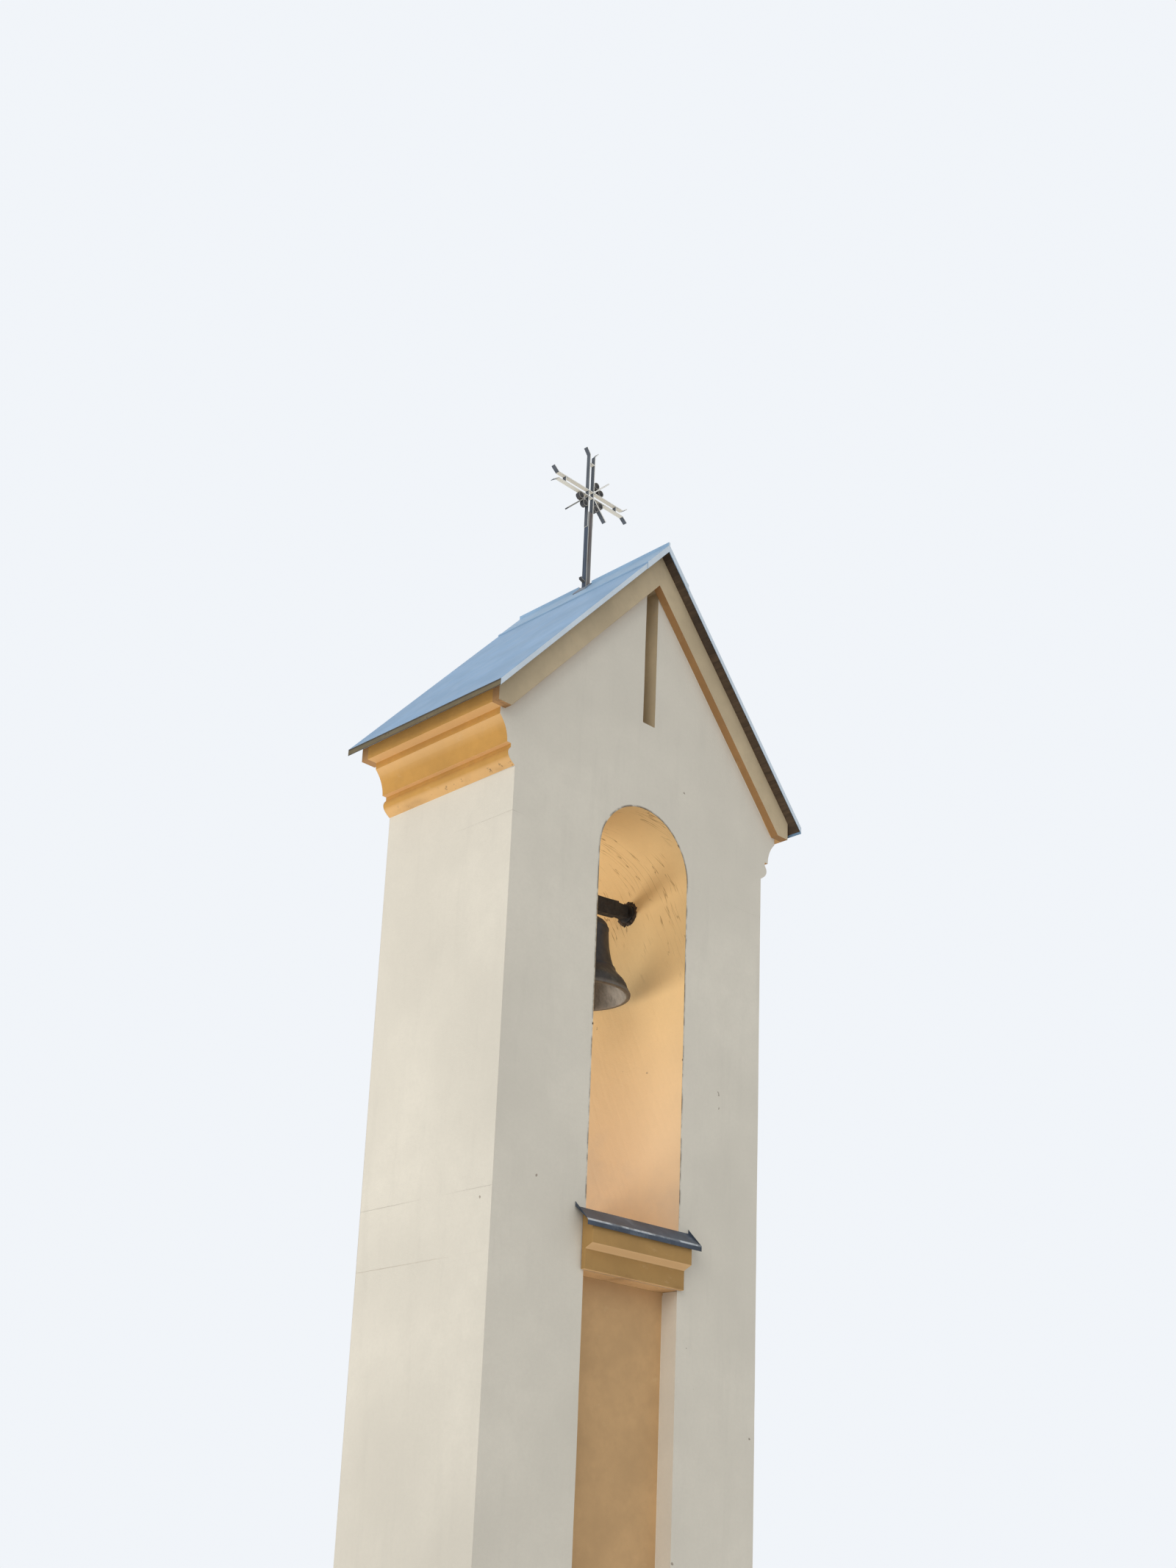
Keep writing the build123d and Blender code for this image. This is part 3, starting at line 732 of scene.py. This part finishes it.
def masonry_mesh():
    """All plastered masonry as one body: the front half is cut to shape and mirrored to the back."""
    right = cornice_outline()
    left = [(-x, z) for x, z in reversed(right)]
    outline = [(-half_width, 0), (half_width, 0)] + right + [(0, z_apex)] + left
    band_apex = z_apex - band_thickness
    foot_x = (band_apex - z_corona) / slope
    reach = corona_x + 5 * overshoot
    far = -band_y - overshoot
    gate = [(-half_opening, z_sill), (half_opening, z_sill)]
    gate += half_circle(z_spring, half_opening, arch_steps)
    niche = upright_strip(half_opening, z_base, z_niche)
    slit = upright_strip(slit_half, z_corona + slit_start, band_apex)
    below_bands = [
        (-foot_x, z_corona),
        (0, band_apex),
        (foot_x, z_corona),
        (reach, z_corona),
        (reach, -5 * overshoot),
        (-reach, -5 * overshoot),
        (-reach, z_corona),
    ]
    wall = loose(prism(outline, -band_y, 0), "masonry")
    cut_out(wall, loose(prism(gate, far, overshoot)))
    cut_out(wall, loose(prism(niche, -niche_y, far)))
    cut_out(wall, loose(prism(slit, slit_depth - half_depth, -half_depth)))
    cut_out(wall, loose(prism(below_bands, -half_depth, far)))
    bm = bmesh.new()
    bm.from_mesh(wall.data)
    mirrored(bm)
    bm.to_mesh(wall.data)
    bm.free()
    return wall


def chip_spots():
    """Small breaks along the arch edges and the foot of the cornices."""
    spots = []
    for face in (-1, 1):
        y = face * half_depth
        for turn in (92, 41):
            angle = math.radians(turn + rng.uniform(-3, 3))
            where = Vector((half_opening * math.cos(angle), y, z_spring + half_opening * math.sin(angle)))
            spots.append((where, rng.uniform(0.006, 0.009)))
        for side in (-1, 1):
            where = Vector((side * half_opening, y, rng.uniform(z_sill + 0.3, z_spring - 0.5)))
            spots.append((where, rng.uniform(0.006, 0.010)))
    for side in (-1, 1):
        for count in range(cornice_breaks):
            along = rng.uniform(-half_depth, half_depth)
            where = Vector((side * (half_width + 0.02), along, torus_foot))
            spots.append((where, rng.uniform(0.004, 0.006)))
    return spots


def cut_for_chips(bm, spots, mark):
    """Cuts a fine grid into the faces at each spot, ready to be sunk."""
    for where, size in spots:
        local = [f for f in bm.faces if (f.calc_center_median() - where).length < 0.1]
        parts = dict.fromkeys(local)
        for face in local:
            parts.update(dict.fromkeys(face.verts))
            parts.update(dict.fromkeys(face.edges))
        for flat in AXES.values():
            for step in (-1.0, -0.6, -0.2, 0.2, 0.6, 1.0):
                spot = where + flat * (step * size)
                made = bmesh.ops.bisect_plane(bm, geom=list(parts), dist=2e-4, plane_co=spot, plane_no=flat)
                parts = dict.fromkeys(made["geom"])
        for face in parts:
            if isinstance(face, bmesh.types.BMFace):
                if (face.calc_center_median() - where).length < size * 0.8:
                    face.material_index = mark


def sink_chips(bm, spots):
    bm.normal_update()
    bm.verts.ensure_lookup_table()
    places = kdtree.KDTree(len(bm.verts))
    for vert in bm.verts:
        places.insert(vert.co, vert.index)
    places.balance()
    moves = []
    for where, size in spots:
        for found, index, distance in places.find_range(where, size):
            vert = bm.verts[index]
            rough = 0.65 + 0.5 * noise.noise(found * 160)
            moves.append((vert, vert.normal * (-0.55 * size * (1 - (distance / size) ** 2) * rough)))
    for vert, push in moves:
        vert.co += push


def masonry_paint(face):
    """Paint of a face by where it lies: trim, niche, opening or wall."""
    x, y, z = face.calc_center_median()
    across = abs(face.normal.y)
    in_niche = z_base < z < z_niche - skin and abs(y) < niche_y + 2 * margin
    if abs(y) > half_depth + hair:
        # Band faces that look front or back get the band paint, and the rest, mostly undersides, the darker
        # soffit paint as painted shade.
        return "band" if across > 0.6 else "soffit"
    if abs(x) > half_width + hair and z > torus_foot - margin:
        return "cream" if across > 0.8 and abs(y) > half_depth - margin else "ochre"
    if abs(x) < half_opening and in_niche and across > 0.6:
        return "niche"
    if abs(x) < half_opening and abs(z - z_niche) < margin:
        return "sill"
    if abs(x) < slit_half + skin and z > z_corona + slit_start - margin and abs(y) < half_depth - skin:
        return "band"
    # Rounded faces at the edge of the opening get the dark arris plaster: dirt and painted shade.
    if z > z_sill - margin and abs(y) > half_depth - edge_round and 0.3 < across < 0.97:
        reach = math.hypot(x, max(0.0, z - z_spring))
        if reach < half_opening + edge_round * 1.2:
            return "arris"
    if abs(x) < half_opening + skin / 2 and z_sill - margin < z < z_spring + half_opening + margin:
        return "peach" if across < 0.6 else "cream"
    return "cream"


def clipped(bm, axis, value, side):
    """Keeps what lies on one side of a plane and closes the cut."""
    flat = AXES[axis]
    bmesh.ops.bisect_plane(
        bm,
        geom=bm.verts[:] + bm.edges[:] + bm.faces[:],
        dist=2e-5,
        plane_co=flat * value,
        plane_no=flat * side,
        clear_outer=True,
    )
    on_plane = [f for f in bm.faces if all(abs(v.co.dot(flat) - value) < 4e-5 for v in f.verts)]
    turned_away = [f for f in on_plane if f.normal.dot(flat) * side < 0]
    bmesh.ops.delete(bm, geom=turned_away, context="FACES")
    rim = [e for e in bm.edges if e.is_boundary]
    if rim:
        bmesh.ops.holes_fill(bm, edges=rim, sides=0)
    bm.normal_update()


def store(mesh, name, domain, values):
    mesh.attributes.new(name, "FLOAT_VECTOR", domain).data.foreach_set("vector", values)


def take(mesh, name, count):
    """Reads a stored attribute and removes it from the mesh."""
    values = [0.0] * (3 * count)
    mesh.attributes[name].data.foreach_get("vector", values)
    mesh.attributes.remove(mesh.attributes[name])
    return values


def masonry_regions():
    """The planes that bound each node's share of the masonry: axis, place and the side that is dropped."""
    lower = [("z", z_base, -1), ("z", z_niche, 1)]
    stage = [("z", z_sill, -1), ("z", z_spring, 1)]
    inside = [("y", -half_depth, -1), ("y", half_depth, 1)]
    wall_band = [("x", -half_width, -1), ("x", half_width, 1)]
    return {
        "base_wall": [("z", z_base, 1)],
        "left_lower_pier": lower + [("x", -half_opening, 1)],
        "right_lower_pier": lower + [("x", half_opening, -1)],
        "niche_back_wall": lower + [("x", -half_opening, -1), ("x", half_opening, 1)],
        "sill_wall": [("z", z_niche, -1), ("z", z_sill, 1)],
        "left_pier": stage + [("x", 0, 1)],
        "right_pier": stage + [("x", 0, -1)],
        "arch_wall": [("z", z_spring, -1), ("z", z_corona, 1)] + wall_band,
        "gable_wall": [("z", z_corona, -1)] + wall_band + inside,
        "left_cornice": [("x", -half_width, 1)] + inside,
        "right_cornice": [("x", half_width, -1)] + inside,
        "front_left_rake_band": [("y", -half_depth, 1), ("x", 0, 1)],
        "front_right_rake_band": [("y", -half_depth, 1), ("x", 0, -1)],
        "back_left_rake_band": [("y", half_depth, -1), ("x", 0, 1)],
        "back_right_rake_band": [("y", half_depth, -1), ("x", 0, -1)],
    }


def shade_evenly(piece, stored):
    """Gives the outer faces the whole wall's shading, and leaves the faces that close a cut flat."""
    normals = []
    for face in piece.polygons:
        for loop in face.loop_indices:
            own = Vector(stored[3 * loop:3 * loop + 3])
            closing = own.length < 0.5
            normals.append(face.normal.copy() if closing else own.normalized())
        face.use_smooth = not closing
    piece.normals_split_custom_set(normals)


def masonry_pieces(plain, worn):
    """Splits the masonry at the joints between its solids, with shading that runs on across them."""
    weighted(worn, 50)
    baked(worn)
    mesh = plain.data
    places = [0.0] * (3 * len(mesh.vertices))
    worn.data.vertices.foreach_get("co", places)
    store(mesh, "moved", "POINT", places)
    values = [0.0] * (3 * len(mesh.loops))
    worn.data.corner_normals.foreach_get("vector", values)
    store(mesh, "kept_normal", "CORNER", values)
    for node, planes in masonry_regions().items():
        bm = bmesh.new()
        bm.from_mesh(mesh)
        for axis, value, side in planes:
            clipped(bm, axis, value, side)
        piece = bpy.data.meshes.new(node + "_plaster")
        bm.to_mesh(piece)
        bm.free()
        moved = take(piece, "moved", len(piece.vertices))
        stored = take(piece, "kept_normal", len(piece.loops))
        piece.vertices.foreach_set("co", moved)
        piece.update()
        shade_evenly(piece, stored)
        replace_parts(put(node + "_plaster", piece, MASONRY), node)
    bpy.data.objects.remove(plain)
    bpy.data.objects.remove(worn)


def build_masonry():
    plain = masonry_mesh()
    bm = bmesh.new()
    bm.from_mesh(plain.data)
    bmesh.ops.remove_doubles(bm, verts=bm.verts[:], dist=joined)
    bmesh.ops.dissolve_limit(bm, angle_limit=math.radians(0.6), verts=bm.verts[:], edges=bm.edges[:])
    softened(bm, edge_round)
    seams = {
        "x": (-half_width, -half_opening, 0, half_opening, half_width),
        "y": (-half_depth, half_depth),
        "z": (z_base, z_niche, z_sill, z_spring, z_corona),
    }
    for axis, values in seams.items():
        sliced(bm, axis, values)
    gridded(bm, wall_grid)
    bm.normal_update()
    for face in bm.faces:
        face.material_index = MASONRY.index(masonry_paint(face))
    spots = chip_spots()
    cut_for_chips(bm, spots, MASONRY.index("broken"))
    bm.verts.index_update()
    rough = bm.copy()
    bm.to_mesh(plain.data)
    bm.free()
    sink_chips(rough, spots)
    weathered(rough, wall_unevenness, wall_wave)
    masonry_pieces(plain, loose(rough, "worn"))


def dressed(node, slots, width=0.0, rows=2, step=0.0, depth=0.0, wave=0.3, body="tower"):
    """A finer copy of a solid: rounded edges, a grid to move, slight unevenness."""
    bm = bmesh.new()
    bm.from_mesh(cad_nodes[node].data)
    bmesh.ops.remove_doubles(bm, verts=bm.verts[:], dist=1e-6)
    bmesh.ops.dissolve_limit(bm, angle_limit=math.radians(0.5), verts=bm.verts[:], edges=bm.edges[:])
    if width:
        softened(bm, width, rows)
    if step:
        gridded(bm, step)
    if depth:
        weathered(bm, depth, wave)
    mesh = bpy.data.meshes.new(node + "_finish")
    bm.to_mesh(mesh)
    bm.free()
    obj = put(node + "_finish", mesh, slots, body)
    weighted(obj)
    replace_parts(obj, node)
    return obj


def build_sills():
    for side in ("front", "back"):
        dressed(f"{side}_sill_moulding", ["sill"], width=0.006, step=0.06, depth=0.003)
        flashing = f"{side}_sill_flashing"
        dressed(flashing, ["flashing"], width=0.0005, rows=1, step=0.04, depth=0.0004, wave=0.12)


def paint_verges(obj, slot):
    """Gives one slot to the edges that look to the front or the back."""
    for face in obj.data.polygons:
        if abs(face.normal.y) > facing_limit:
            face.material_index = slot


def build_roof():
    """Sheets with verge edges paler as painted light and worn paint on the folds at the eaves, cap and
    boards.
    """
    slots = ["roof", "trim", "dark_trim"]
    for node, eave in (("right_roof_sheet", 1), ("left_roof_sheet", -1)):
        sheet = dressed(node, slots, width=0.0008, rows=1, step=0.08, depth=0.0012, wave=0.5)
        # Verge edges get the paler trim: painted light.
        paint_verges(sheet, slots.index("trim"))
        for face in sheet.data.polygons:
            if eave * face.normal.x > facing_limit:
                face.material_index = slots.index("dark_trim")
    cap_slots = ["cap", "trim"]
    cap = dressed("ridge_cap", cap_slots, width=0.0005, rows=1, step=0.1)
    # The cap's verge edges get the paler trim: painted light.
    paint_verges(cap, cap_slots.index("trim"))
    for node in ("left_roof_deck", "right_roof_deck"):
        dressed(node, ["boards"])


CROSS_PAINTS = {
    "cross_saddle": "saddle",
    "cross_post": "post",
    "cross_scrolls": "scroll",
    "cross_lower_left_ray": "scroll",
}


def build_cross():
    for node in sorted(cad_nodes):
        if node.startswith("cross_"):
            dressed(node, [CROSS_PAINTS.get(node, "cross")], width=0.0008)


def bell_outline(mouth):
    """Radius and height above the lip, down the outside, round the lip and up the inside."""
    outer = [
        (0.0, 0.465),
        (0.100, 0.463),
        (0.121, 0.449),
        (0.134, 0.434),
        (0.1395, 0.420),
        (0.1420, 0.410),
        (0.1460, 0.407),
        (0.1465, 0.401),
        (0.1435, 0.396),
        (0.1455, 0.370),
        (0.1480, 0.322),
        (0.1510, 0.295),
        (0.156, 0.267),
        (0.165, 0.223),
        (0.176, 0.187),
        (0.1845, 0.168),
        (0.1890, 0.166),
        (0.1920, 0.160),
        (0.1915, 0.153),
        (0.206, 0.131),
        (0.224, 0.110),
        (0.243, 0.090),
        (0.2565, 0.068),
        (0.2645, 0.046),
        (0.2745, 0.026),
        (mouth, 0.012),
        (0.2800, 0.004),
        (0.272, 0.0),
        (0.258, 0.0),
    ]
    inner = [
        (0.250, 0.006),
        (0.242, 0.028),
        (0.231, 0.055),
        (0.208, 0.090),
        (0.184, 0.125),
        (0.162, 0.172),
        (0.148, 0.222),
        (0.138, 0.275),
        (0.132, 0.330),
        (0.126, 0.400),
        (0.114, 0.432),
        (0.090, 0.447),
        (0.0, 0.449),
    ]
    return outer + inner


def bell_crown(low):
    """Rounded block between the bell and the headstock."""
    width = 0.100
    thickness = 0.056
    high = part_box("headstock")[0].z + 0.004
    bm = bmesh.new()
    bmesh.ops.create_cube(bm, size=1.0)
    bm.transform(Matrix.Diagonal((width, thickness, high - low, 1)))
    bm.transform(Matrix.Translation((axle.x, axle.y, (high + low) / 2)))
    softened(bm, 0.006)
    mesh = bpy.data.meshes.new("crown")
    bm.to_mesh(mesh)
    bm.free()
    return mesh


def build_bell():
    low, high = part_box("bell")
    mouth = (high.x - low.x) / 2
    lip = low.z
    bm = turned(bell_outline(mouth), Vector((axle.x, axle.y, lip)), bell_steps)
    for face in bm.faces:
        middle = face.calc_center_median()
        outward = Vector((middle.x - axle.x, middle.y - axle.y, 0)).dot(face.normal)
        face.material_index = 1 if outward < 0 and middle.z > lip + hair else 0
    crown = bell_crown(lip + 0.455)
    bm.from_mesh(crown)
    bpy.data.meshes.remove(crown)
    casting = bpy.data.meshes.new("bell_casting")
    bm.to_mesh(casting)
    bm.free()
    obj = put("bell_casting", casting, ["bell", "bell_inside"], "swinging_bell")
    weighted(obj, 40)
    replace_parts(obj, "bell")


def build_bell_fittings():
    """Headstock, axle, straps and clapper ride the bell, and the bushes stay in the jambs."""
    iron = ["iron"]
    dressed("headstock", iron, width=0.006, step=0.03, depth=0.004, wave=0.11, body="swinging_bell")
    dressed("bell_axle", iron, width=0.001, rows=1, body="swinging_bell")
    for node in ("left_bell_strap", "right_bell_strap"):
        dressed(node, iron, width=0.0015, body="swinging_bell")
    for node in ("clapper", "clapper_staple"):
        dressed(node, iron, width=0.0012, body="swinging_bell")
    for node in ("left_bearing", "right_bearing"):
        dressed(node, iron, width=0.003)


def mortar_loop(bm, side, depth, reach, ragged):
    """One round of points, uneven in depth and, where it is ragged, in reach."""
    face_x = side * (half_opening + skin)
    loop = []
    for i in range(mortar_steps):
        angle = 2 * math.pi * i / mortar_steps
        spot = Vector((math.cos(angle) * 2.2, math.sin(angle) * 2.2, side * 5 + depth * 60))
        away = reach + ragged * noise.noise(spot * 2.6)
        out = depth * (1 + 0.4 * noise.noise(spot * 2.7))
        y = axle.y + away * math.cos(angle)
        z = axle.z + away * math.sin(angle)
        loop.append(bm.verts.new((face_x - side * out, y, z)))
    return loop


def hub_mortar(side):
    """Ragged ring of old mortar where the bush sits in the jamb."""
    bm = bmesh.new()
    outer = []
    inner = []
    for depth, least, most in mortar_rings:
        outer.append(mortar_loop(bm, side, depth, most, mortar_ragged))
        inner.append(mortar_loop(bm, side, depth, least, 0.0))
    path = outer + inner[::-1] + outer[:1]
    for low, high in zip(path, path[1:]):
        for i in range(mortar_steps):
            j = (i + 1) % mortar_steps
            bm.faces.new((low[i], low[j], high[j], high[i]))
    bmesh.ops.recalc_face_normals(bm, faces=bm.faces[:])
    mesh = bpy.data.meshes.new("hub_mortar")
    bm.to_mesh(mesh)
    bm.free()
    put(("left" if side < 0 else "right") + "_hub_mortar", mesh, ["mortar"])


def foot_tab():
    """Small bent tab that sticks out at the left foot of the cross."""
    low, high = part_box("cross_post")
    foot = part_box("cross_saddle")[1].z + 0.012
    half = 0.012
    sunk = 0.001
    outline = [(0.0, 0.0), (-0.030, 0.010), (-0.034, 0.024), (-0.030, 0.025), (-0.026, 0.014), (0.0, 0.006)]
    placed = [(low.x + sunk + x, foot + z) for x, z in outline]
    middle = (low.y + high.y) / 2
    bm = prism(placed, middle - half, middle + half)
    softened(bm, 0.0008, 1)
    mesh = bpy.data.meshes.new("foot_tab")
    bm.to_mesh(mesh)
    bm.free()
    put("cross_foot_tab", mesh, ["scroll"])


def build_camera():
    """Camera at the photograph's place, height and lens."""
    data = bpy.data.cameras.new("camera")
    data.sensor_width = sensor_width
    data.sensor_fit = "AUTO"
    data.lens = lens_pixels * sensor_width / image_height
    data.shift_x = (image_width / 2 - centre_x) / image_height
    data.shift_y = (centre_y - image_height / 2) / image_height
    data.clip_end = far_clip
    camera = bpy.data.objects.new("camera", data)
    heading = Matrix.Rotation(camera_heading, 4, "Z")
    tilt = Matrix.Rotation(camera_tilt, 4, "X")
    roll = Matrix.Rotation(camera_roll, 4, "Z")
    camera.matrix_world = Matrix.Translation(camera_place) @ heading @ tilt @ roll
    bpy.context.scene.collection.objects.link(camera)
    bpy.context.scene.camera = camera


def build_sky():
    """Weak even light on the tower, while the camera and reflections see a pale backdrop."""
    world = bpy.data.worlds.new("studio")
    world.use_nodes = True
    bpy.context.scene.world = world
    tree = world.node_tree
    sky = tree.nodes["Background"]
    sky.inputs["Color"].default_value = (0.96, 0.98, 1.0, 1.0)
    sky.inputs["Strength"].default_value = sky_strength
    back = tree.nodes.new("ShaderNodeBackground")
    back.inputs["Color"].default_value = (0.88, 0.91, 0.95, 1.0)
    rays = tree.nodes.new("ShaderNodeLightPath")
    seen = tree.nodes.new("ShaderNodeMath")
    seen.operation = "MAXIMUM"
    passed = tree.nodes.new("ShaderNodeMath")
    passed.operation = "MAXIMUM"
    blend = tree.nodes.new("ShaderNodeMixShader")
    tree.links.new(rays.outputs["Is Glossy Ray"], passed.inputs[0])
    tree.links.new(rays.outputs["Is Transmission Ray"], passed.inputs[1])
    tree.links.new(rays.outputs["Is Camera Ray"], seen.inputs[0])
    tree.links.new(passed.outputs[0], seen.inputs[1])
    tree.links.new(seen.outputs[0], blend.inputs[0])
    tree.links.new(sky.outputs[0], blend.inputs[1])
    tree.links.new(back.outputs[0], blend.inputs[2])
    tree.links.new(blend.outputs[0], tree.nodes["World Output"].inputs["Surface"])


def lamp(name, strength, towards, spread, colour=(1.0, 1.0, 1.0)):
    """Broad soft lamp that shines from the given direction."""
    data = bpy.data.lights.new(name, "SUN")
    data.energy = strength
    data.angle = math.radians(spread)
    data.color = colour
    obj = bpy.data.objects.new(name, data)
    obj.rotation_euler = Vector(towards).to_track_quat("Z", "Y").to_euler()
    bpy.context.scene.collection.objects.link(obj)


def opening_lamp():
    """Soft box behind the tower, low, that lights the inside of the arched opening."""
    data = bpy.data.lights.new("opening_light", "AREA")
    data.energy = opening_light_energy
    data.size = opening_light_size
    data.spread = opening_light_spread
    data.color = (1.0, 0.97, 0.92)
    obj = bpy.data.objects.new("opening_light", data)
    obj.location = opening_light_place
    obj.rotation_euler = (obj.location - Vector(opening_light_aim)).to_track_quat("Z", "Y").to_euler()
    obj.visible_camera = False
    bpy.context.scene.collection.objects.link(obj)


def build_floor():
    mesh = bpy.data.meshes.new("floor")
    bm = bmesh.new()
    bmesh.ops.create_circle(bm, cap_ends=True, segments=64, radius=floor_radius)
    bm.to_mesh(mesh)
    bm.free()
    floor = bpy.data.objects.new("floor", mesh)
    bpy.context.scene.collection.objects.link(floor)
    shade = Shade("floor_paint", 0.9)
    shade.colour(shade.mix(shade.noise(0.4, 3.0), srgb(246, 247, 248), srgb(252, 252, 253)))
    mesh.materials.append(shade.mat)


# The tower, from the ground up
build_masonry()
build_sills()
build_roof()
build_cross()
build_bell()
build_bell_fittings()
for side in (-1, 1):
    hub_mortar(side)
foot_tab()

# Camera, light from the left and front with weaker light from behind, and floor
build_camera()
build_sky()
lamp("key_light", 0.85, (-0.80, -0.42, 0.45), 40, (1.0, 0.98, 0.94))
lamp("front_light", 0.35, (-0.25, -0.95, 0.12), 60, (0.92, 0.96, 1.0))
lamp("back_light", 0.5, (0.80, 0.40, 0.45), 60)
opening_lamp()
build_floor()
